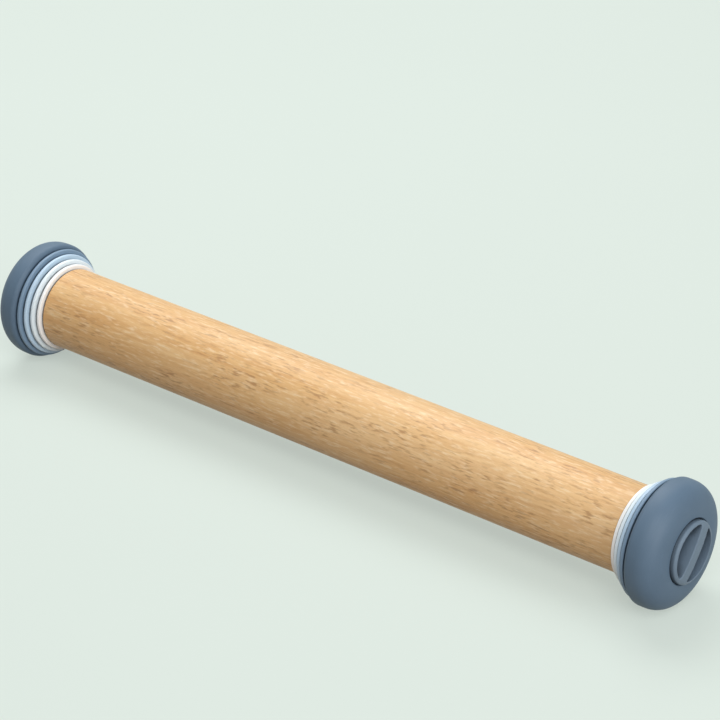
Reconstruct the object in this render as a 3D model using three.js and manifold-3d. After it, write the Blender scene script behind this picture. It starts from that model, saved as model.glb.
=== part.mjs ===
// Rolling pin with a turned wooden barrel and graded thickness discs screwed on at both ends.
// Millimetres. +X runs along the barrel, +Z is up, and the origin is at the middle of the axis.
// Distances along an end are counted outwards from the barrel's shoulder, where the discs begin.
import * as THREE from "three";
import { mergeVertices } from "three/addons/utils/BufferGeometryUtils.js";
import Module from "manifold-3d";

const wasm = await Module();
wasm.setup();

// Barrel
const BARREL_RADIUS = 22;
const BARREL_LENGTH = 370; // from shoulder to shoulder
const BARREL_EDGE = 1.1; // rounding of the shoulder's outer edge
const SPIGOT_RADIUS = 12.5; // turned end that carries the discs
const SPIGOT_REACH = 4.4; // how far the spigot enters the end disc
const SPIGOT_CHAMFER = 0.8;

// Graded discs: each one lifts the barrel a step higher than the one before it
const GAUGE_STEP = 2;
const LIGHT_DISCS = 4;
const DISC_THICKNESS = 2.7;
const DISC_EDGE = 1.1; // rounding of the rim's two edges

// End disc: the last step of the gauge, with a domed outer side
const END_EDGE = 1.4; // rounding of the rim's inner edge
const END_RIM = 6.75; // straight part of the rim
const DOME_HEIGHT = 8.3;
const WEB_THICKNESS = 3.5; // wall that the screw clamps against the spigot

// Knob: a round grip with a bar left standing between two half-moon finger pockets
const KNOB_RADIUS = 16;
const KNOB_LIP = 2.2; // how far its rim stands out of the dome
const KNOB_EDGE = 1;
const KNOB_CROWN = 1.5; // rise from the rim to the middle
const KNOB_WALL = 1.5; // floor left between the finger pockets and the screw's head
const POCKET_RADIUS = 14.2;
const GRIP_WIDTH = 6.4;
const GRIP_ANGLE = 53; // degrees from +Y to the bar, seen along the axis

// Screw and its insert, with a right-hand trapezoidal thread
const THREAD_PITCH = 3;
const THREAD_RADIUS = 6;
const THREAD_DEPTH = 1.5;
const THREAD_CREST = 1; // width of the thread's flat crest
const THREAD_FLANK = 15; // degrees
const THREAD_LENGTH = 18.5;
const TIP_CHAMFER = 1.2;
const HEAD_FLATS = 18; // across the flats of the hexagon head
const HEAD_THICKNESS = 2.2;
const INSERT_RADIUS = 8;
const INSERT_LENGTH = 22;
const INSERT_GROOVE = 0.7; // depth of the grooves that the glue fills
const INSERT_GROOVES = 3;
const FLANGE_RADIUS = 9.8;
const FLANGE_THICKNESS = 1.5;

// Clearances
const FACE_GAP = 0.25; // between the faces of stacked discs
const BORE_GAP = 0.3; // round a shaft, head or knob
const SEAT_GAP = 0.3; // under a seated face
const THREAD_GAP = 0.25; // on the thread's crests, roots and flanks

// Fineness of the round surfaces
const FACETS = 36; // flats round a turned piece, a multiple of four
const SCREW_FACETS = 20; // flats round the screw's shank and the insert
const EDGE_STEPS = 2;
const DOME_STEPS = 6;
const CROWN_STEPS = 3;
const POCKET_STEPS = 12;
const THREAD_STEPS = 16; // round one turn of the thread

// Places along an end, outwards from the shoulder
const discPitch = DISC_THICKNESS + FACE_GAP;
const stackEnd = FACE_GAP + LIGHT_DISCS * discPitch;
const spigotEnd = stackEnd + SPIGOT_REACH;
const webStart = spigotEnd + FACE_GAP;
const webEnd = webStart + WEB_THICKNESS;
const rimEnd = stackEnd + END_EDGE + END_RIM;
const domeEnd = rimEnd + DOME_HEIGHT;
const seat = webEnd + SEAT_GAP; // underside of the screw's head and of the knob
const headEnd = seat + HEAD_THICKNESS;
const headPocketEnd = headEnd + SEAT_GAP;
const pocketFloor = headPocketEnd + KNOB_WALL;
const knobRim = domeEnd + KNOB_LIP;
const knobTop = knobRim + KNOB_CROWN;
const threadEnd = spigotEnd;
const screwTip = threadEnd - THREAD_LENGTH;
const flangeStart = spigotEnd - SEAT_GAP - FLANGE_THICKNESS;
const insertStart = flangeStart + FLANGE_THICKNESS - INSERT_LENGTH;
const endRadius = BARREL_RADIUS + GAUGE_STEP * (LIGHT_DISCS + 1);
const recessRadius = KNOB_RADIUS + BORE_GAP;

const MERGE = 1e-4;

const woodMaterial = new THREE.MeshStandardMaterial({ color: 0xd9b07c, roughness: 0.55, metalness: 0 });
const slateMaterial = new THREE.MeshStandardMaterial({ color: 0x5d6d7f, roughness: 0.6, metalness: 0 });
const knobMaterial = new THREE.MeshStandardMaterial({ color: 0x58697b, roughness: 0.6, metalness: 0 });
const nylonMaterial = new THREE.MeshStandardMaterial({ color: 0xd8d9d6, roughness: 0.5, metalness: 0 });
const brassMaterial = new THREE.MeshStandardMaterial({ color: 0xb59a56, roughness: 0.35, metalness: 1 });
const discColors = [0xf4f4f0, 0xe4eef5, 0xb9d0e6, 0x7f97b0];
const discMaterials = discColors.map(
  (color) => new THREE.MeshStandardMaterial({ color, roughness: 0.45, metalness: 0 }),
);

// Points on an arc of the profile, from one angle to the other in degrees, 0 along the axis.
function arc(x, r, radiusX, radiusR, from, to, steps) {
  const points = [];
  for (let i = 0; i <= steps; i += 1) {
    const angle = THREE.MathUtils.degToRad(from + ((to - from) * i) / steps);
    points.push([x + radiusX * Math.cos(angle), r + radiusR * Math.sin(angle)]);
  }
  return points;
}

// A solid of revolution about X. The profile is [distance along X, radius] from its outer end inwards.
function turned(profile, facets = FACETS) {
  const points = profile.map(([x, r]) => new THREE.Vector2(r, x));
  const geometry = new THREE.LatheGeometry(points, facets, Math.PI / facets);
  return geometry.rotateZ(-Math.PI / 2);
}

function solidOf(geometry) {
  const bare = new THREE.BufferGeometry();
  bare.setAttribute("position", geometry.getAttribute("position"));
  bare.setIndex(geometry.index);
  const merged = mergeVertices(bare, MERGE);
  return new wasm.Manifold(
    new wasm.Mesh({
      numProp: 3,
      vertProperties: merged.getAttribute("position").array,
      triVerts: new Uint32Array(merged.index.array),
    }),
  );
}

function geometryOf(solid) {
  const mesh = solid.getMesh();
  const geometry = new THREE.BufferGeometry();
  geometry.setAttribute("position", new THREE.BufferAttribute(mesh.vertProperties, 3));
  geometry.setIndex(new THREE.BufferAttribute(mesh.triVerts, 1));
  geometry.computeVertexNormals();
  return geometry;
}

// One rounded ring on the spigot. Its profile closes on itself.
function ring(start, radius) {
  const end = start + DISC_THICKNESS;
  const bore = SPIGOT_RADIUS + BORE_GAP;
  const shoulder = radius - DISC_EDGE;
  return turned([
    [start, bore],
    ...arc(start + DISC_EDGE, shoulder, DISC_EDGE, DISC_EDGE, 180, 90, EDGE_STEPS),
    ...arc(end - DISC_EDGE, shoulder, DISC_EDGE, DISC_EDGE, 90, 0, EDGE_STEPS),
    [end, bore],
    [start, bore],
  ]);
}

// Right half of the barrel's profile, from the rounded shoulder to the bottom of the insert's bore.
function barrelEnd() {
  const half = BARREL_LENGTH / 2;
  const tip = half + spigotEnd;
  const bore = INSERT_RADIUS + BORE_GAP;
  const counterbore = FLANGE_RADIUS + BORE_GAP;
  const counterboreFloor = half + flangeStart - SEAT_GAP;
  const boreFloor = half + insertStart - SEAT_GAP;
  return [
    ...arc(half - BARREL_EDGE, BARREL_RADIUS - BARREL_EDGE, BARREL_EDGE, BARREL_EDGE, 90, 0, EDGE_STEPS),
    [half, SPIGOT_RADIUS],
    [tip - SPIGOT_CHAMFER, SPIGOT_RADIUS],
    [tip, SPIGOT_RADIUS - SPIGOT_CHAMFER],
    [tip, counterbore],
    [counterboreFloor, counterbore],
    [counterboreFloor, bore],
    [boreFloor, bore],
    [boreFloor, 0],
  ];
}

function barrel() {
  const right = barrelEnd();
  const left = right.map(([x, r]) => [-x, r]).reverse();
  return turned([...left, ...right]);
}

// Domed disc with a bore for the spigot on its inner side and a round recess for the knob on its outer side.
function endDisc() {
  const bore = SPIGOT_RADIUS + BORE_GAP;
  const screwHole = THREAD_RADIUS + BORE_GAP;
  const edge = endRadius - END_EDGE;
  return turned([
    [stackEnd, bore],
    ...arc(stackEnd + END_EDGE, edge, END_EDGE, END_EDGE, 180, 90, EDGE_STEPS),
    ...arc(rimEnd, recessRadius, DOME_HEIGHT, endRadius - recessRadius, 90, 0, DOME_STEPS),
    [webEnd, recessRadius],
    [webEnd, screwHole],
    [webStart, screwHole],
    [webStart, bore],
    [stackEnd, bore],
  ]);
}

// Hexagonal prism along X between two places, given its size across the flats.
function hexagon(start, end, flats) {
  const radius = flats / 2 / Math.cos(Math.PI / 6);
  const geometry = new THREE.CylinderGeometry(radius, radius, end - start, 6);
  return geometry.rotateZ(-Math.PI / 2).translate((start + end) / 2, 0, 0);
}

// Half-moon prism between the grip's side and the pocket's round wall, on one side of the bar.
function halfMoon(side) {
  const spread = Math.acos(GRIP_WIDTH / 2 / POCKET_RADIUS);
  const outline = new THREE.Shape();
  outline.absarc(0, 0, POCKET_RADIUS, -spread, spread, false);
  outline.closePath();
  const geometry = new THREE.ExtrudeGeometry(outline, {
    depth: knobTop - pocketFloor + KNOB_CROWN,
    bevelEnabled: false,
    curveSegments: POCKET_STEPS,
  });
  geometry.rotateZ(side > 0 ? 0 : Math.PI);
  geometry.rotateY(Math.PI / 2);
  geometry.rotateX(THREE.MathUtils.degToRad(GRIP_ANGLE));
  return geometry.translate(pocketFloor, 0, 0);
}

function knob() {
  const edge = KNOB_RADIUS - KNOB_EDGE;
  const body = turned([
    [seat, 0],
    [seat, KNOB_RADIUS],
    ...arc(knobRim - KNOB_EDGE, edge, KNOB_EDGE, KNOB_EDGE, 90, 0, EDGE_STEPS),
    ...arc(knobRim, 0, KNOB_CROWN, edge, 90, 0, CROWN_STEPS).slice(1),
  ]);
  const headPocket = hexagon(seat - SEAT_GAP, headPocketEnd, HEAD_FLATS + 2 * BORE_GAP);
  const cut = solidOf(body)
    .subtract(solidOf(headPocket))
    .subtract(solidOf(halfMoon(1)))
    .subtract(solidOf(halfMoon(-1)));
  return geometryOf(cut);
}

// Rod with a helical thread along X. Its rows of points follow the helix, so a row at the end of one
// turn runs on in the row that lies one pitch further. Both ends are closed onto the axis.
function threadedRod(start, end, gap) {
  const crest = THREAD_RADIUS + gap;
  const root = THREAD_RADIUS - THREAD_DEPTH + gap;
  const halfCrest = THREAD_CREST / 2 + gap;
  const halfFoot = halfCrest + THREAD_DEPTH * Math.tan(THREE.MathUtils.degToRad(THREAD_FLANK));
  const section = [
    [-halfFoot, root],
    [-halfCrest, crest],
    [halfCrest, crest],
    [halfFoot, root],
  ];
  const rows = section.length * Math.ceil((end - start) / THREAD_PITCH + 1);
  const positions = [];
  const index = [];
  const column = [];
  for (let i = 0; i < THREAD_STEPS; i += 1) {
    const turn = i / THREAD_STEPS;
    column.push(positions.length / 3);
    const columnRows = i === 0 ? rows + section.length : rows;
    for (let j = 0; j < columnRows; j += 1) {
      const [offset, radius] = section[j % section.length];
      const lap = Math.floor(j / section.length) + turn;
      const angle = 2 * Math.PI * turn;
      positions.push(start + lap * THREAD_PITCH + offset, radius * Math.cos(angle), radius * Math.sin(angle));
    }
  }
  const vertex = (i, j) => (i < THREAD_STEPS ? column[i] + j : column[0] + j + section.length);
  for (let i = 0; i < THREAD_STEPS; i += 1) {
    for (let j = 0; j + 1 < rows; j += 1) {
      index.push(vertex(i, j), vertex(i + 1, j), vertex(i, j + 1));
      index.push(vertex(i + 1, j), vertex(i + 1, j + 1), vertex(i, j + 1));
    }
  }
  for (const row of [0, rows - 1]) {
    const loop = [];
    for (let i = 0; i <= THREAD_STEPS; i += 1) loop.push(vertex(i, row));
    for (let j = section.length - 1; j > 0; j -= 1) loop.push(column[0] + row + j);
    const middle = positions.length / 3;
    positions.push(start + ((row + section.length / 2) / section.length) * THREAD_PITCH, 0, 0);
    loop.forEach((from, k) => {
      const to = loop[(k + 1) % loop.length];
      index.push(...(row === 0 ? [middle, to, from] : [middle, from, to]));
    });
  }
  const geometry = new THREE.BufferGeometry();
  geometry.setAttribute("position", new THREE.Float32BufferAttribute(positions, 3));
  geometry.setIndex(index);
  return geometry;
}

// Moulded screw: hexagon head, plain shank and a thread trimmed to its chamfered tip.
function knobScrew() {
  const runOut = threadEnd + THREAD_DEPTH; // the thread fades into the shank up to here
  const trimRadius = THREAD_RADIUS + THREAD_DEPTH;
  const trim = turned(
    [
      [screwTip, 0],
      [screwTip, THREAD_RADIUS - TIP_CHAMFER],
      [screwTip + TIP_CHAMFER + THREAD_DEPTH, trimRadius],
      [runOut, trimRadius],
      [runOut, 0],
    ],
    SCREW_FACETS,
  );
  const shank = turned(
    [
      [threadEnd, 0],
      [threadEnd, THREAD_RADIUS - THREAD_DEPTH],
      [runOut, THREAD_RADIUS],
      [headEnd - HEAD_THICKNESS / 2, THREAD_RADIUS],
      [headEnd - HEAD_THICKNESS / 2, 0],
    ],
    SCREW_FACETS,
  );
  const rod = threadedRod(screwTip - THREAD_PITCH, runOut + THREAD_PITCH, 0);
  const screw = solidOf(rod)
    .intersect(solidOf(trim))
    .add(solidOf(shank))
    .add(solidOf(hexagon(seat, headEnd, HEAD_FLATS)));
  return geometryOf(screw);
}

// Flanged sleeve glued into the barrel, with glue grooves outside and the screw's thread inside.
function threadInsert() {
  const mouth = flangeStart + FLANGE_THICKNESS;
  const groovePitch = (flangeStart - insertStart) / (2 * INSERT_GROOVES + 1);
  const outside = [
    [insertStart, 0],
    [insertStart, INSERT_RADIUS],
  ];
  for (let i = 0; i < INSERT_GROOVES; i += 1) {
    const from = insertStart + (2 * i + 1) * groovePitch;
    const to = from + groovePitch;
    outside.push([from, INSERT_RADIUS], [from, INSERT_RADIUS - INSERT_GROOVE]);
    outside.push([to, INSERT_RADIUS - INSERT_GROOVE], [to, INSERT_RADIUS]);
  }
  outside.push([flangeStart, INSERT_RADIUS], [flangeStart, FLANGE_RADIUS]);
  outside.push([mouth, FLANGE_RADIUS], [mouth, 0]);
  const turnsBack = Math.ceil((screwTip - insertStart) / THREAD_PITCH) + 1;
  const threadStart = screwTip - THREAD_PITCH * (turnsBack + 1);
  const thread = threadedRod(threadStart, mouth + THREAD_PITCH, THREAD_GAP);
  return geometryOf(solidOf(turned(outside, SCREW_FACETS)).subtract(solidOf(thread)));
}

function piece(name, geometry, material) {
  const mesh = new THREE.Mesh(geometry, material);
  mesh.name = name;
  return mesh;
}

const pin = new THREE.Group();
pin.add(piece("barrel", barrel(), woodMaterial));

const insertGeometry = threadInsert();
const endDiscGeometry = endDisc();
const knobGeometry = knob();
const screwGeometry = knobScrew();

// The left end is the right end turned half a turn about Z, so both threads stay right-handed.
for (const [side, turn] of [["right", 0], ["left", Math.PI]]) {
  const end = new THREE.Group();
  end.position.x = (Math.cos(turn) * BARREL_LENGTH) / 2;
  end.rotation.z = turn;
  end.add(piece(`${side}_thread_insert`, insertGeometry, brassMaterial));
  for (let i = 0; i < LIGHT_DISCS; i += 1) {
    const geometry = ring(FACE_GAP + i * discPitch, BARREL_RADIUS + GAUGE_STEP * (i + 1));
    const material = discMaterials[i % discMaterials.length];
    end.add(piece(`${side}_gauge_disc_${i + 1}`, geometry, material));
  }
  end.add(piece(`${side}_end_disc`, endDiscGeometry, slateMaterial));
  end.add(piece(`${side}_knob`, knobGeometry, knobMaterial));
  end.add(piece(`${side}_knob_screw`, screwGeometry, nylonMaterial));
  pin.add(end);
}

export default pin;
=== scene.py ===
"""Looks of a beech rolling pin with graded discs: fine surfaces, materials, floor, light and camera."""

import math

import bmesh
import bpy
from mathutils import Matrix, Vector


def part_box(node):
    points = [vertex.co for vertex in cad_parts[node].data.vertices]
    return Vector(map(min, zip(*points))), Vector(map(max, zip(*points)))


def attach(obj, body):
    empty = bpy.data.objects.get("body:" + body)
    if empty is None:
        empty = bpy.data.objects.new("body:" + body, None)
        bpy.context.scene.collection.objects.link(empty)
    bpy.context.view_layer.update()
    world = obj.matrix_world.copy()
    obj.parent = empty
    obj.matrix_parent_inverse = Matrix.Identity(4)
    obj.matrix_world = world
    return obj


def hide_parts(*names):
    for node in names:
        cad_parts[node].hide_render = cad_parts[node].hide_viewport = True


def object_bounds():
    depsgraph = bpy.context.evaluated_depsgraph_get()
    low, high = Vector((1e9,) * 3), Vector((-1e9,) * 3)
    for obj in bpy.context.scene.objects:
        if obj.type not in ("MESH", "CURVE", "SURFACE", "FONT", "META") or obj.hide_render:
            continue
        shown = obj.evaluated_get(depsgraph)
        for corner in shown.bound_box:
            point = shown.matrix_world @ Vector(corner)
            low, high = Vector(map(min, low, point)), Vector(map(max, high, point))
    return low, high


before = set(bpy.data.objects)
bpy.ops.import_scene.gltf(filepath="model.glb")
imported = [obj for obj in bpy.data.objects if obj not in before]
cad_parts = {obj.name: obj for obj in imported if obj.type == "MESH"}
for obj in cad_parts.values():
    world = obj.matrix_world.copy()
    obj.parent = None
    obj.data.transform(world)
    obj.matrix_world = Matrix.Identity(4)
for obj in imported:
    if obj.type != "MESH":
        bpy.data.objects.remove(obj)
CAD_BOX = [list(corner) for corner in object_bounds()]

# Camera, worked out from the outlines in the photograph
IMAGE_PIXELS = 720
FOCAL_PIXELS = 2741.8
SENSOR_MM = 36.0
CAMERA_AZIMUTH = math.radians(39.17)
CAMERA_ELEVATION = math.radians(27.68)
CAMERA_DISTANCE = 1.3849
CAMERA_RIGHT = 0.01336
CAMERA_UP = 0.02584

# Sizes in metres that the solids' boxes don't give: those of the part's source, and finer edges
BARREL_LENGTH = 0.370
BARREL_EDGE = 0.0008
SPIGOT_RADIUS = 0.0125
SPIGOT_CHAMFER = 0.0008
DISC_COUNT = 4
DISC_EDGE = 0.0006
BORE_EDGE = 0.0002
RIM_RELIEF = 0.0004  # each face outside its hub stands back by this, so the stack shows fine gaps
HUB_RADIUS = 0.0180
END_EDGE = 0.0024
DOME_HEIGHT = 0.0115  # its curve starts within the rim, so the outline runs round with no kink
DOME_FULLNESS = 2.4  # 2 is an ellipse, and more is squarer
WEB_THICKNESS = 0.0035
KNOB_EDGE = 0.0010
KNOB_EDGE_STOP = 20  # degrees from the axis, where the rounded edge runs into the crown
KNOB_CROWN = 0.0015
KNOB_CROWN_START = 84  # degrees from the axis
KNOB_WALL = 0.0015
POCKET_RADIUS = 0.0142
POCKET_CORNER = 0.0012
GRIP_WIDTH = 0.0064
GRIP_ANGLE = math.radians(53)
THREAD_PITCH = 0.003
THREAD_RADIUS = 0.006
THREAD_DEPTH = 0.0015
THREAD_CREST = 0.001
THREAD_FLANK = math.radians(15)
THREAD_LENGTH = 0.0185
TIP_CHAMFER = 0.0012
HEAD_FLATS = 0.018
HEAD_THICKNESS = 0.0022
INSERT_RADIUS = 0.008
INSERT_GROOVE = 0.0007
INSERT_GROOVES = 3
FLANGE_RADIUS = 0.0098
FLANGE_THICKNESS = 0.0015
FACE_GAP = 0.00025
FIT_GAP = 0.0003
THREAD_GAP = 0.00025

# Painted shade: colour darkened in crevices by ambient occlusion
CREVICE = 0.0024  # gaps about this wide get painted shade
FULL_SHADE_OPENNESS = 0.18  # a surface no more open than this gets the full painted shade, where 1 is fully open
SHADE_FREE_OPENNESS = 0.58  # a surface at least as open as this gets no painted shade
POCKET_CREVICE = 0.007  # the knob's deep pockets get painted shade higher up their walls
POCKET_SHADE_FREE_OPENNESS = 0.90
OCCLUSION_SAMPLES = 8

# Fineness of the meshes
SEGMENTS = 128
ARC_STEPS = 6
BORE_STEPS = 3
DOME_STEPS = 24
THREAD_SEGMENTS = 48
THREAD_ROWS = 20  # rows of points in one pitch
KNOB_VOXEL = 0.00025
KNOB_SMOOTHING = 5
SMOOTHING_FACTOR = 0.5
SHARP_ANGLE = math.radians(40)

SIDES = {"right": 0.0, "left": math.pi}

# Surroundings
PALE = (0.80, 0.89, 0.825)  # as the camera sees them
FLOOR_SHADES = ((0.56, 0.625, 0.58), (0.59, 0.655, 0.61))
FLOOR_BOUNCE = (0.29, 0.245, 0.20)  # the floor's colour in the light that it throws on the object
FLOOR_GLOW = 0.54  # share of the floor's brightness near the object that no shadow takes away
GLOW_START = 0.6  # beyond this distance from the object the share grows
GLOW_END = 2.2  # and from here on all of the floor's brightness is glow
FLOOR_REACH = 4.0
WORLD_LIGHT = 0.27

# Growth rings of the wood
RING_CENTRE = (0.0, 0.075, -0.052)  # the rings go round a line along X through this point
RINGS_PER_METRE = 330.0
RING_WAVE = 5.0  # how many rings the grain wanders


def half_size(node):
    """Half of a node's smaller size across the axis: the radius that fits inside its solid's box."""
    low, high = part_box(node)
    return min(high.y - low.y, high.z - low.z) / 2


def place_on_end(node, outer):
    """Distance of a right-hand node's inner or outer face from the barrel's shoulder."""
    low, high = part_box(node)
    return (high.x if outer else low.x) - BARREL_LENGTH / 2


BARREL_RADIUS = half_size("barrel")
END_RADIUS = half_size("right_end_disc")
KNOB_RADIUS = half_size("right_knob")
SPIGOT_END = place_on_end("barrel", True)
STACK_END = place_on_end("right_end_disc", False)
DOME_END = place_on_end("right_end_disc", True)
KNOB_SEAT = place_on_end("right_knob", False)
KNOB_TOP = place_on_end("right_knob", True)
SCREW_TIP = place_on_end("right_knob_screw", False)
HEAD_END = place_on_end("right_knob_screw", True)
INSERT_START = place_on_end("right_thread_insert", False)
INSERT_MOUTH = place_on_end("right_thread_insert", True)
RIM_END = DOME_END - DOME_HEIGHT
WEB_START = SPIGOT_END + FACE_GAP
WEB_END = WEB_START + WEB_THICKNESS
KNOB_RIM = KNOB_TOP - KNOB_CROWN
POCKET_FLOOR = HEAD_END + FIT_GAP + KNOB_WALL
BORE = SPIGOT_RADIUS + FIT_GAP


# Meshes

def finish_mesh(name, verts, faces):
    """An object with smooth faces, outward normals and sharp edges only where the shape has them."""
    mesh = bpy.data.meshes.new(name)
    mesh.from_pydata(verts, [], faces)
    work = bmesh.new()
    work.from_mesh(mesh)
    bmesh.ops.recalc_face_normals(work, faces=work.faces)
    work.to_mesh(mesh)
    work.free()
    for polygon in mesh.polygons:
        polygon.use_smooth = True
    mesh.set_sharp_from_angle(angle=SHARP_ANGLE)
    piece = bpy.data.objects.new(name, mesh)
    bpy.context.scene.collection.objects.link(piece)
    return piece


def arc(x, r, size_x, size_r, start, end, steps=ARC_STEPS, fullness=2.0):
    """Points of an elliptical or fuller arc in a profile. Angles are in degrees from the axis."""
    points = []
    for i in range(steps + 1):
        angle = math.radians(start + (end - start) * i / steps)
        along, across = math.cos(angle), math.sin(angle)
        along = math.copysign(abs(along) ** (2 / fullness), along)
        across = math.copysign(abs(across) ** (2 / fullness), across)
        points.append((x + size_x * along, r + size_r * across))
    return points


def spun(name, rows, segments, closed):
    """A surface round X from rows, each a function of the angle that gives (x, radius).

    A row of no radius becomes one point. A closed surface joins its last row to its first.
    """
    verts = []
    loops = []
    for row in rows:
        first = len(verts)
        if row(0.0)[1] == 0.0:
            verts.append((row(0.0)[0], 0.0, 0.0))
            loops.append([first] * segments)
            continue
        for i in range(segments):
            angle = 2 * math.pi * i / segments
            x, radius = row(angle)
            verts.append((x, radius * math.cos(angle), radius * math.sin(angle)))
        loops.append(list(range(first, first + segments)))
    pairs = list(zip(loops, loops[1:]))
    if closed:
        pairs.append((loops[-1], loops[0]))
    faces = []
    for lower, upper in pairs:
        for i in range(segments):
            j = (i + 1) % segments
            corners = [lower[i], lower[j], upper[j], upper[i]]
            faces.append(list(dict.fromkeys(corners)))
    return finish_mesh(name, verts, faces)


def turned(name, profile, closed, segments=SEGMENTS):
    """A surface round X from a profile of (x, radius) points."""
    rows = [lambda angle, point=point: point for point in profile]
    return spun(name, rows, segments, closed)


def to_end(piece, turn):
    """Move a piece from the shoulder's own frame to the end that is turned by that angle about Z."""
    out = Matrix.Translation((BARREL_LENGTH / 2, 0, 0))
    piece.data.transform(Matrix.Rotation(turn, 4, "Z") @ out)
    return piece


def stand_for(piece, node, body, material):
    """Give a piece its material, and put it in the place of a node on a body."""
    piece.data.materials.append(material)
    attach(piece, body)
    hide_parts(node)
    return piece


# Materials

class Shader:
    """A Principled material and short ways to add the nodes that vary it."""

    def __init__(self, name, roughness, specular):
        self.material = bpy.data.materials.new(name)
        self.material.use_nodes = True
        self.tree = self.material.node_tree
        self.surface = self.tree.nodes["Principled BSDF"]
        self.surface.inputs["Roughness"].default_value = roughness
        self.surface.inputs["Specular IOR Level"].default_value = specular
        self.coordinates = self.add("ShaderNodeTexCoord")
        self.place = self.coordinates.outputs["Object"]

    def add(self, kind, **settings):
        node = self.tree.nodes.new(kind)
        for key, value in settings.items():
            setattr(node, key, value)
        return node

    def link(self, source, target):
        self.tree.links.new(source, target)

    def stretched(self, scale):
        """The place on the object, scaled along each axis, in features per metre."""
        node = self.add("ShaderNodeVectorMath", operation="MULTIPLY")
        self.link(self.place, node.inputs[0])
        node.inputs[1].default_value = scale
        return node.outputs[0]

    def noise(self, scale, detail=2.0, roughness=0.5):
        node = self.add("ShaderNodeTexNoise")
        self.link(self.stretched(scale), node.inputs["Vector"])
        node.inputs["Scale"].default_value = 1.0
        node.inputs["Detail"].default_value = detail
        node.inputs["Roughness"].default_value = roughness
        return node.outputs["Fac"]

    def ramp(self, factor, low, high):
        """A factor stretched so that low becomes 0 and high becomes 1."""
        node = self.add("ShaderNodeMapRange")
        self.link(factor, node.inputs["Value"])
        node.inputs["From Min"].default_value = low
        node.inputs["From Max"].default_value = high
        return node.outputs["Result"]

    def math(self, operation, first, second=0.0):
        node = self.add("ShaderNodeMath", operation=operation)
        for socket, value in zip(node.inputs, (first, second)):
            if isinstance(value, (int, float)):
                socket.default_value = value
            else:
                self.link(value, socket)
        return node.outputs[0]

    def scaled(self, factor, times, plus):
        return self.math("ADD", self.math("MULTIPLY", factor, times), plus)

    def mix(self, factor, first, second):
        node = self.add("ShaderNodeMix", data_type="RGBA")
        self.link(factor, node.inputs["Factor"])
        for socket, value in zip((node.inputs[6], node.inputs[7]), (first, second)):
            if isinstance(value, tuple):
                socket.default_value = (*value, 1.0)
            else:
                self.link(value, socket)
        return node.outputs[2]

    def blend(self, factor, share, first, second):
        """A mix in which the second colour takes no more than the given share."""
        return self.mix(self.math("MULTIPLY", factor, share), first, second)

    def distance_from_line(self, point):
        """Distance of a place on the object from a line along X through a point."""
        offset = self.add("ShaderNodeVectorMath", operation="SUBTRACT")
        self.link(self.place, offset.inputs[0])
        offset.inputs[1].default_value = point
        across = self.add("ShaderNodeVectorMath", operation="MULTIPLY")
        self.link(offset.outputs[0], across.inputs[0])
        across.inputs[1].default_value = (0.0, 1.0, 1.0)
        length = self.add("ShaderNodeVectorMath", operation="LENGTH")
        self.link(across.outputs[0], length.inputs[0])
        return length.outputs["Value"]

    def slope_along_axis(self):
        """How far the object's surface faces along X, from 0 to 1."""
        parts = self.add("ShaderNodeSeparateXYZ")
        self.link(self.coordinates.outputs["Normal"], parts.inputs[0])
        return self.math("ABSOLUTE", parts.outputs["X"])

    def openness(self, reach=CREVICE, shade_free_openness=SHADE_FREE_OPENNESS):
        """1 on open surfaces, falling to 0 in crevices: the mask for painted shade. Walls count within
        the reach.
        """
        node = self.add("ShaderNodeAmbientOcclusion", samples=OCCLUSION_SAMPLES)
        node.inputs["Distance"].default_value = reach
        return self.ramp(node.outputs["AO"], FULL_SHADE_OPENNESS, shade_free_openness)

    def bump(self, height, distance, strength, below=None):
        node = self.add("ShaderNodeBump")
        node.inputs["Strength"].default_value = strength
        node.inputs["Distance"].default_value = distance
        self.link(height, node.inputs["Height"])
        if below:
            self.link(below, node.inputs["Normal"])
        return node.outputs["Normal"]

    def set(self, socket, source):
        self.link(source, self.surface.inputs[socket])


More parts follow.
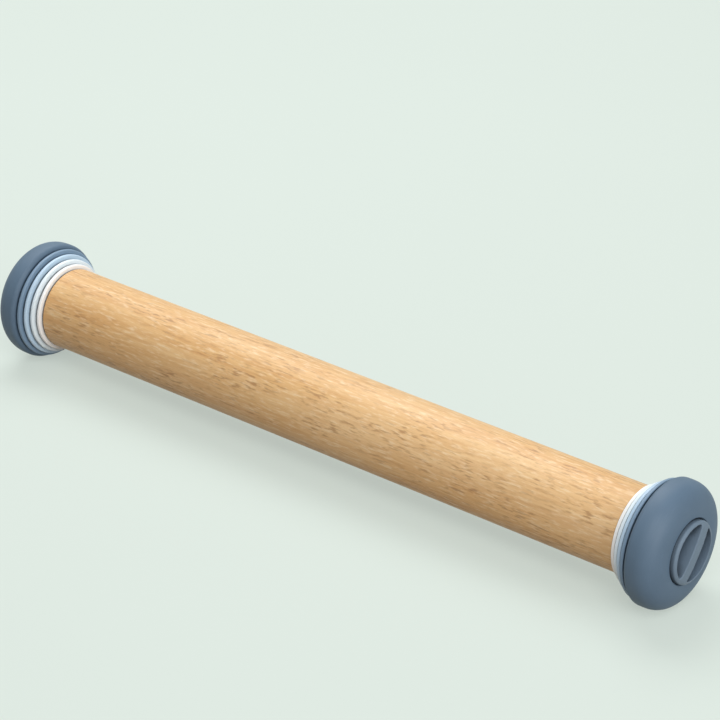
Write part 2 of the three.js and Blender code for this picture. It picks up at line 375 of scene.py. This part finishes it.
def beech():
    """Pale beech: soft growth bands, long fibres and short flecks along X, and darker end grain."""
    s = Shader("beech", 0.45, 0.5)
    reach = s.distance_from_line(RING_CENTRE)
    warp = s.noise((6, 40, 40), 2.0)
    turns = s.scaled(reach, RINGS_PER_METRE, s.math("MULTIPLY", warp, RING_WAVE))
    late = s.ramp(s.math("FRACT", turns), 0.35, 1.0)
    fibre = s.noise((30, 1000, 1000), 4.0, 0.65)
    streak = s.noise((8, 260, 260), 3.0, 0.55)
    patch = s.noise((7, 34, 34), 2.0)
    cluster = s.ramp(s.noise((28, 85, 85), 2.0), 0.36, 0.60)
    dark_fleck = s.math("MULTIPLY", s.ramp(s.noise((150, 850, 850), 2.0), 0.52, 0.67), cluster)
    pale_fleck = s.ramp(s.noise((160, 900, 900), 2.0), 0.52, 0.72)
    pore = s.ramp(s.noise((420, 4200, 4200), 1.0), 0.60, 0.70)
    pale = (0.79, 0.515, 0.240)
    deep = (0.61, 0.310, 0.106)
    bright = (0.87, 0.665, 0.415)
    brown = (0.37, 0.170, 0.060)
    # Colour of the painted shade in crevices
    crevice_shade = (0.10, 0.05, 0.02)
    colour = s.blend(late, 0.30, pale, deep)
    colour = s.blend(s.ramp(fibre, 0.38, 0.70), 0.60, colour, deep)
    colour = s.blend(s.ramp(streak, 0.42, 0.72), 0.55, colour, deep)
    colour = s.blend(s.ramp(patch, 0.42, 0.75), 0.35, colour, bright)
    colour = s.blend(pale_fleck, 0.65, colour, bright)
    colour = s.blend(dark_fleck, 0.66, colour, brown)
    colour = s.blend(pore, 0.15, colour, brown)
    colour = s.blend(s.ramp(s.slope_along_axis(), 0.15, 0.85), 0.60, colour, brown)
    # Painted shade: the colour darkens towards this where ambient occlusion finds crevices
    s.set("Base Color", s.mix(s.openness(), crevice_shade, colour))
    s.set("Roughness", s.scaled(fibre, 0.25, 0.36))
    fine = s.bump(fibre, 0.00012, 0.35)
    s.set("Normal", s.bump(s.math("ADD", dark_fleck, pore), -0.00008, 0.35, fine))
    return s.material


def moulded(
    name, colour, shade, roughness, specular, grain=0.20, crevice_shade_share=0.20, crevice=CREVICE, shade_free_openness=SHADE_FREE_OPENNESS
):
    """Moulded plastic: eroded-mould texture, cloudy tone, faint scuffs, and painted shade darkening its
    crevices.
    """
    s = Shader(name, roughness, specular)
    cloud = s.noise((70, 70, 70), 3.0)
    scuff = s.ramp(s.noise((2400, 150, 150), 2.0), 0.55, 0.75)
    rubbed = tuple(min(1.0, channel * 1.12 + 0.015) for channel in colour)
    # Colour of the painted shade in crevices: a darker copy of the plastic's own colour
    crevice_shade = tuple(channel * crevice_shade_share for channel in colour)
    tone = s.blend(s.ramp(cloud, 0.3, 0.75), 0.5, colour, shade)
    tone = s.blend(scuff, 0.28, tone, rubbed)
    # Painted shade: the colour darkens towards that copy where ambient occlusion finds crevices
    s.set("Base Color", s.mix(s.openness(crevice, shade_free_openness), crevice_shade, tone))
    spark = s.noise((3200, 3200, 3200), 2.0)
    varied = s.scaled(cloud, 0.16, roughness - 0.08)
    s.set("Roughness", s.scaled(scuff, 0.08, varied))
    s.set("Normal", s.bump(spark, 0.00006, grain))
    return s.material


def turned_brass():
    """Brass with the fine rings that a lathe tool leaves."""
    s = Shader("turned_brass", 0.32, 0.5)
    s.surface.inputs["Metallic"].default_value = 1.0
    rings = s.noise((6000, 60, 60), 2.0)
    tarnish = s.noise((220, 220, 220), 3.0)
    bright = (0.72, 0.54, 0.24)
    dull = (0.50, 0.35, 0.14)
    s.set("Base Color", s.mix(s.ramp(tarnish, 0.35, 0.75), bright, dull))
    s.set("Roughness", s.scaled(rings, 0.2, 0.22))
    s.set("Normal", s.bump(rings, 0.00004, 0.3))
    return s.material


def seen_directly(tree):
    """1 for rays that show a surface to the camera, straight or mirrored, and 0 for other light."""
    path = tree.nodes.new("ShaderNodeLightPath").outputs
    total = path["Is Camera Ray"]
    for kind in ("Is Glossy Ray", "Is Transmission Ray"):
        join = tree.nodes.new("ShaderNodeMath")
        join.operation = "ADD"
        join.use_clamp = True
        tree.links.new(total, join.inputs[0])
        tree.links.new(path[kind], join.inputs[1])
        total = join.outputs[0]
    return total


def floor_paper():
    """Pale paper: seen directly it partly glows by itself, so the shadow on it stays light.

    Far from the object it glows fully, and runs into the surroundings with no edge.
    """
    s = Shader("floor_paper", 0.9, 0.0)
    cloud = s.noise((3, 3, 3), 2.0)
    seen = s.add("ShaderNodeBsdfDiffuse")
    s.link(s.mix(cloud, *FLOOR_SHADES), seen.inputs["Color"])
    glow = s.add("ShaderNodeEmission")
    glow.inputs["Color"].default_value = (*PALE, 1.0)
    distance = s.add("ShaderNodeVectorMath", operation="LENGTH")
    s.link(s.place, distance.inputs[0])
    far = s.ramp(distance.outputs["Value"], GLOW_START, GLOW_END)
    partly = s.add("ShaderNodeMixShader")
    s.link(s.scaled(far, 1.0 - FLOOR_GLOW, FLOOR_GLOW), partly.inputs[0])
    s.link(seen.outputs[0], partly.inputs[1])
    s.link(glow.outputs[0], partly.inputs[2])
    plain = s.add("ShaderNodeBsdfDiffuse")
    plain.inputs["Color"].default_value = (*FLOOR_BOUNCE, 1.0)
    whole = s.add("ShaderNodeMixShader")
    s.link(seen_directly(s.tree), whole.inputs[0])
    s.link(plain.outputs[0], whole.inputs[1])
    s.link(partly.outputs[0], whole.inputs[2])
    s.link(whole.outputs[0], s.tree.nodes["Material Output"].inputs["Surface"])
    return s.material


# Pieces

def barrel():
    """The wood, with a spigot and a stepped bore at each end."""
    half = BARREL_LENGTH / 2
    tip = half + SPIGOT_END
    counterbore = FLANGE_RADIUS + FIT_GAP
    counterbore_floor = half + INSERT_MOUTH - FLANGE_THICKNESS - FIT_GAP
    bore = INSERT_RADIUS + FIT_GAP
    bore_floor = half + INSERT_START - FIT_GAP
    right = [
        *arc(half - BARREL_EDGE, BARREL_RADIUS - BARREL_EDGE, BARREL_EDGE, BARREL_EDGE, 90, 0),
        (half, SPIGOT_RADIUS),
        (tip - SPIGOT_CHAMFER, SPIGOT_RADIUS),
        (tip, SPIGOT_RADIUS - SPIGOT_CHAMFER),
        (tip, counterbore),
        (counterbore_floor, counterbore),
        (counterbore_floor, bore),
        (bore_floor, bore),
        (bore_floor, 0.0),
    ]
    left = [(-x, r) for x, r in reversed(right)]
    return turned("barrel_wood", left + right, False)


def gauge_disc(name, start, end, radius):
    """A thin disc with rounded edges, whose hub is a little thicker than its rim."""
    edge = radius - DISC_EDGE
    bore = BORE + BORE_EDGE
    rim_start = start + RIM_RELIEF
    rim_end = end - RIM_RELIEF
    return turned(name, [
        *arc(start + BORE_EDGE, bore, BORE_EDGE, BORE_EDGE, 270, 180, BORE_STEPS),
        (start, HUB_RADIUS),
        (rim_start, HUB_RADIUS + RIM_RELIEF),
        *arc(rim_start + DISC_EDGE, edge, DISC_EDGE, DISC_EDGE, 180, 90),
        *arc(rim_end - DISC_EDGE, edge, DISC_EDGE, DISC_EDGE, 90, 0),
        (rim_end, HUB_RADIUS + RIM_RELIEF),
        (end, HUB_RADIUS),
        *arc(end - BORE_EDGE, bore, BORE_EDGE, BORE_EDGE, 0, -90, BORE_STEPS),
    ], True)


def end_disc(name):
    """The domed disc, with a recess for the knob and a web that the screw passes through."""
    recess = KNOB_RADIUS + FIT_GAP
    hole = THREAD_RADIUS + FIT_GAP
    lip = 2 * FIT_GAP
    dome = recess + lip
    rim_start = STACK_END + RIM_RELIEF
    return turned(name, [
        (STACK_END, BORE),
        (STACK_END, HUB_RADIUS),
        (rim_start, HUB_RADIUS + RIM_RELIEF),
        *arc(rim_start + END_EDGE, END_RADIUS - END_EDGE, END_EDGE, END_EDGE, 180, 90, 2 * ARC_STEPS),
        *arc(RIM_END, dome, DOME_HEIGHT, END_RADIUS - dome, 90, 0, DOME_STEPS, DOME_FULLNESS),
        (DOME_END - lip, recess),
        (WEB_END, recess),
        (WEB_END, hole),
        (WEB_START, hole),
        (WEB_START, BORE),
    ], True)


def half_moon(name, side):
    """A prism in the shape of one finger pocket, with its corners rounded."""
    inner = GRIP_WIDTH / 2 + POCKET_CORNER
    outer = POCKET_RADIUS - POCKET_CORNER
    spread = math.acos(inner / outer)
    corner_y = outer * math.sin(spread)
    outline = []
    steps = 4 * ARC_STEPS
    for i in range(steps + 1):
        angle = -spread + 2 * spread * i / steps
        outline.append((POCKET_RADIUS * math.cos(angle), POCKET_RADIUS * math.sin(angle)))
    for y, start, end in ((corner_y, spread, math.pi), (-corner_y, -math.pi, -spread)):
        for i in range(1, ARC_STEPS):
            angle = start + (end - start) * i / ARC_STEPS
            u = inner + POCKET_CORNER * math.cos(angle)
            outline.append((u, y + POCKET_CORNER * math.sin(angle)))
        if y > 0:
            outline.append((inner - POCKET_CORNER, y))
            outline.append((inner - POCKET_CORNER, -y))
    count = len(outline)
    verts = [(POCKET_FLOOR, v, -side * u) for u, v in outline]
    verts += [(KNOB_TOP + KNOB_CROWN, v, -side * u) for u, v in outline]
    faces = [list(range(count)), list(range(count, 2 * count))]
    for i in range(count):
        j = (i + 1) % count
        faces.append([i, j, count + j, count + i])
    piece = finish_mesh(name, verts, faces)
    piece.data.transform(Matrix.Rotation(GRIP_ANGLE, 4, "X"))
    return piece


def hexagon(name, start, end, flats):
    """A hexagonal prism along X, with its size across the flats."""
    radius = flats / 2 / math.cos(math.pi / 6)
    piece = turned(name, [(start, 0.0), (start, radius), (end, radius), (end, 0.0)], False, 6)
    piece.data.transform(Matrix.Rotation(math.pi / 6, 4, "X"))
    return piece


def knob(name):
    """A crowned round knob cut by two finger pockets, with all its edges softened."""
    edge = KNOB_RADIUS - KNOB_EDGE
    body = turned(name, [
        (KNOB_SEAT, 0.0),
        (KNOB_SEAT, KNOB_RADIUS),
        *arc(KNOB_RIM - KNOB_EDGE, edge, KNOB_EDGE, KNOB_EDGE, 90, KNOB_EDGE_STOP),
        *arc(KNOB_RIM, 0.0, KNOB_CROWN, edge, KNOB_CROWN_START, 0, DOME_STEPS)[:-1],
        (KNOB_TOP, 0.0),
    ], False)
    cutters = [
        half_moon("pocket_cutter_1", 1),
        half_moon("pocket_cutter_2", -1),
        hexagon("head_cutter", KNOB_SEAT - FIT_GAP, HEAD_END + FIT_GAP, HEAD_FLATS + 2 * FIT_GAP),
    ]
    for cutter in cutters:
        cut = body.modifiers.new(cutter.name, "BOOLEAN")
        cut.operation = "DIFFERENCE"
        cut.solver = "EXACT"
        cut.object = cutter
    remesh = body.modifiers.new("even_mesh", "REMESH")
    remesh.mode = "VOXEL"
    remesh.voxel_size = KNOB_VOXEL
    smooth = body.modifiers.new("soft_edges", "SMOOTH")
    smooth.iterations = KNOB_SMOOTHING
    smooth.factor = SMOOTHING_FACTOR
    bpy.context.view_layer.update()
    evaluated = body.evaluated_get(bpy.context.evaluated_depsgraph_get())
    mesh = bpy.data.meshes.new_from_object(evaluated)
    body.modifiers.clear()
    body.data = mesh
    for polygon in mesh.polygons:
        polygon.use_smooth = True
    for cutter in cutters:
        bpy.data.objects.remove(cutter)
    return body


def thread_radius(x, angle, start, gap):
    """Radius of the thread's surface at a place along the axis and an angle round it."""
    turn = (x - start) / THREAD_PITCH - angle / (2 * math.pi)
    from_crest = abs((turn + 0.5) % 1.0 - 0.5) * THREAD_PITCH - THREAD_CREST / 2 - gap
    flank = THREAD_DEPTH * math.tan(THREAD_FLANK)
    drop = min(max(from_crest / flank, 0.0), 1.0)
    return THREAD_RADIUS + gap - THREAD_DEPTH * drop


def thread_rows(start, end, gap, limit):
    """Rows of a threaded surface between two places, held under a limit that depends on the place."""
    count = round((end - start) / THREAD_PITCH * THREAD_ROWS)
    rows = []
    for i in range(count + 1):
        x = start + (end - start) * i / count
        rows.append(lambda angle, x=x: (x, limit(x, thread_radius(x, angle, SCREW_TIP, gap))))
    return rows


def knob_screw(name):
    """A screw with a bevelled tip, a helical thread, a plain neck and a hexagon head."""
    thread_end = SCREW_TIP + THREAD_LENGTH
    run_out = thread_end + THREAD_DEPTH
    seat = HEAD_END - HEAD_THICKNESS
    root = THREAD_RADIUS - THREAD_DEPTH

    def limit(x, radius):
        tip = THREAD_RADIUS - TIP_CHAMFER + (x - SCREW_TIP)
        return max(min(radius, tip), root + max(0.0, x - thread_end))

    rows = [lambda angle: (SCREW_TIP, 0.0)]
    rows += thread_rows(SCREW_TIP, run_out, 0.0, limit)
    rows.append(lambda angle: (seat, THREAD_RADIUS))
    apothem = HEAD_FLATS / 2

    def hexagonal(angle):
        return apothem / math.cos((angle + math.pi / 6) % (math.pi / 3) - math.pi / 6)

    rows.append(lambda angle: (seat, hexagonal(angle)))
    rows.append(lambda angle: (HEAD_END, hexagonal(angle)))
    rows.append(lambda angle: (HEAD_END, 0.0))
    return spun(name, rows, THREAD_SEGMENTS, False)


def thread_insert(name):
    """A flanged sleeve, grooved outside to hold its glue and threaded inside."""
    flange_start = INSERT_MOUTH - FLANGE_THICKNESS
    pitch = (flange_start - INSERT_START) / (2 * INSERT_GROOVES + 1)
    outside = [(INSERT_START, INSERT_RADIUS)]
    for i in range(INSERT_GROOVES):
        groove = INSERT_START + (2 * i + 1) * pitch
        outside += [(groove, INSERT_RADIUS), (groove, INSERT_RADIUS - INSERT_GROOVE)]
        outside += [(groove + pitch, INSERT_RADIUS - INSERT_GROOVE), (groove + pitch, INSERT_RADIUS)]
    outside += [(flange_start, INSERT_RADIUS), (flange_start, FLANGE_RADIUS)]
    outside.append((INSERT_MOUTH, FLANGE_RADIUS))
    rows = [lambda angle, point=point: point for point in outside]
    rows += reversed(thread_rows(INSERT_START, INSERT_MOUTH, THREAD_GAP, lambda x, radius: radius))
    return spun(name, rows, THREAD_SEGMENTS, True)


def make_end(side, turn, gauge_materials, slate, knob_slate_painted_light, nylon, brass):
    """All the pieces of one end, made at the right end and turned into place."""
    for i in range(1, DISC_COUNT + 1):
        node = f"{side}_gauge_disc_{i}"
        model = f"right_gauge_disc_{i}"
        start, end = place_on_end(model, False), place_on_end(model, True)
        disc = to_end(gauge_disc(f"{node}_surface", start, end, half_size(model)), turn)
        stand_for(disc, node, node, gauge_materials[i - 1])
    cap = to_end(end_disc(f"{side}_end_disc_surface"), turn)
    stand_for(cap, f"{side}_end_disc", f"{side}_end_disc", slate)
    grip = to_end(knob(f"{side}_knob_surface"), turn)
    stand_for(grip, f"{side}_knob", f"{side}_knob", knob_slate_painted_light)
    screw = to_end(knob_screw(f"{side}_knob_screw_surface"), turn)
    stand_for(screw, f"{side}_knob_screw", f"{side}_knob", nylon)
    insert = to_end(thread_insert(f"{side}_thread_insert_surface"), turn)
    stand_for(insert, f"{side}_thread_insert", "barrel", brass)


# Studio

def floor(level):
    corners = ((-1, -1), (1, -1), (1, 1), (-1, 1))
    verts = [(x * FLOOR_REACH, y * FLOOR_REACH, level) for x, y in corners]
    mesh = bpy.data.meshes.new("floor")
    mesh.from_pydata(verts, [], [[0, 1, 2, 3]])
    plane = bpy.data.objects.new("floor", mesh)
    bpy.context.scene.collection.objects.link(plane)
    mesh.materials.append(floor_paper())


def lamp(name, place, size, power):
    """A soft rectangular lamp that faces the middle of the object."""
    light = bpy.data.lights.new(name, "AREA")
    light.shape = "RECTANGLE"
    light.size, light.size_y = size
    light.energy = power
    holder = bpy.data.objects.new(name, light)
    holder.location = place
    holder.rotation_euler = (-Vector(place)).to_track_quat("-Z", "Y").to_euler()
    bpy.context.scene.collection.objects.link(holder)


def studio():
    """Soft light from three lamps and the world, and pale surroundings where the camera looks."""
    scene = bpy.context.scene
    scene.view_settings.view_transform = "Standard"
    world = bpy.data.worlds.new("studio")
    world.use_nodes = True
    tree = world.node_tree
    light = tree.nodes["Background"]
    light.inputs["Color"].default_value = (1.0, 1.0, 1.0, 1.0)
    light.inputs["Strength"].default_value = WORLD_LIGHT
    view = tree.nodes.new("ShaderNodeBackground")
    view.inputs["Color"].default_value = (*PALE, 1.0)
    both = tree.nodes.new("ShaderNodeMixShader")
    tree.links.new(seen_directly(tree), both.inputs[0])
    tree.links.new(light.outputs[0], both.inputs[1])
    tree.links.new(view.outputs[0], both.inputs[2])
    tree.links.new(both.outputs[0], tree.nodes["World Output"].inputs["Surface"])
    scene.world = world
    lamp("overhead", (-0.60, 0.50, 1.25), (1.2, 0.9), 16.0)
    lamp("front", (1.20, -1.50, 2.20), (1.6, 1.4), 36.0)
    lamp("side", (1.90, -0.35, 0.60), (1.0, 1.0), 17.0)


def camera():
    """A camera at the photograph's viewing angle and in its frame."""
    back = Vector((
        math.sin(CAMERA_AZIMUTH) * math.cos(CAMERA_ELEVATION),
        -math.cos(CAMERA_AZIMUTH) * math.cos(CAMERA_ELEVATION),
        math.sin(CAMERA_ELEVATION),
    ))
    right = Vector((math.cos(CAMERA_AZIMUTH), math.sin(CAMERA_AZIMUTH), 0.0))
    up = back.cross(right)
    data = bpy.data.cameras.new("camera")
    data.sensor_width = SENSOR_MM
    data.lens = FOCAL_PIXELS * SENSOR_MM / IMAGE_PIXELS
    holder = bpy.data.objects.new("camera", data)
    turn = Matrix((right, up, back)).transposed().to_4x4()
    place = back * CAMERA_DISTANCE + right * CAMERA_RIGHT + up * CAMERA_UP
    holder.matrix_world = Matrix.Translation(place) @ turn
    bpy.context.scene.collection.objects.link(holder)
    bpy.context.scene.camera = holder


camera()
studio()
floor(CAD_BOX[0][2])
stand_for(barrel(), "barrel", "barrel", beech())
gauge_plastics = [
    moulded("gauge_white", (0.95, 0.955, 0.95), (0.91, 0.915, 0.91), 0.42, 0.45),
    moulded("gauge_ice", (0.80, 0.90, 0.96), (0.75, 0.85, 0.92), 0.42, 0.45),
    moulded("gauge_sky", (0.51, 0.67, 0.82), (0.47, 0.62, 0.77), 0.42, 0.45),
    moulded("gauge_steel", (0.20, 0.30, 0.42), (0.18, 0.275, 0.39), 0.45, 0.42),
]
# The end disc's grooves get a strong painted shade
slate_plastic = moulded(
    "slate", (0.096, 0.152, 0.222), (0.084, 0.134, 0.198), 0.55, 0.40, grain=0.3, crevice_shade_share=0.45
)
# The knob is the end disc's slate plastic painted lighter, as painted light on its face, with painted
# shade deep in its pockets
knob_plastic_painted_light = moulded(
    "knob_slate_painted_light", (0.146, 0.204, 0.272), (0.130, 0.186, 0.250), 0.55, 0.40, grain=0.3, crevice_shade_share=0.18,
    crevice=POCKET_CREVICE, shade_free_openness=POCKET_SHADE_FREE_OPENNESS
)
nylon_plastic = moulded("nylon", (0.66, 0.66, 0.63), (0.60, 0.60, 0.57), 0.45, 0.4)
brass_metal = turned_brass()
end_materials = (gauge_plastics, slate_plastic, knob_plastic_painted_light, nylon_plastic, brass_metal)
for side_name, side_turn in SIDES.items():
    make_end(side_name, side_turn, *end_materials)
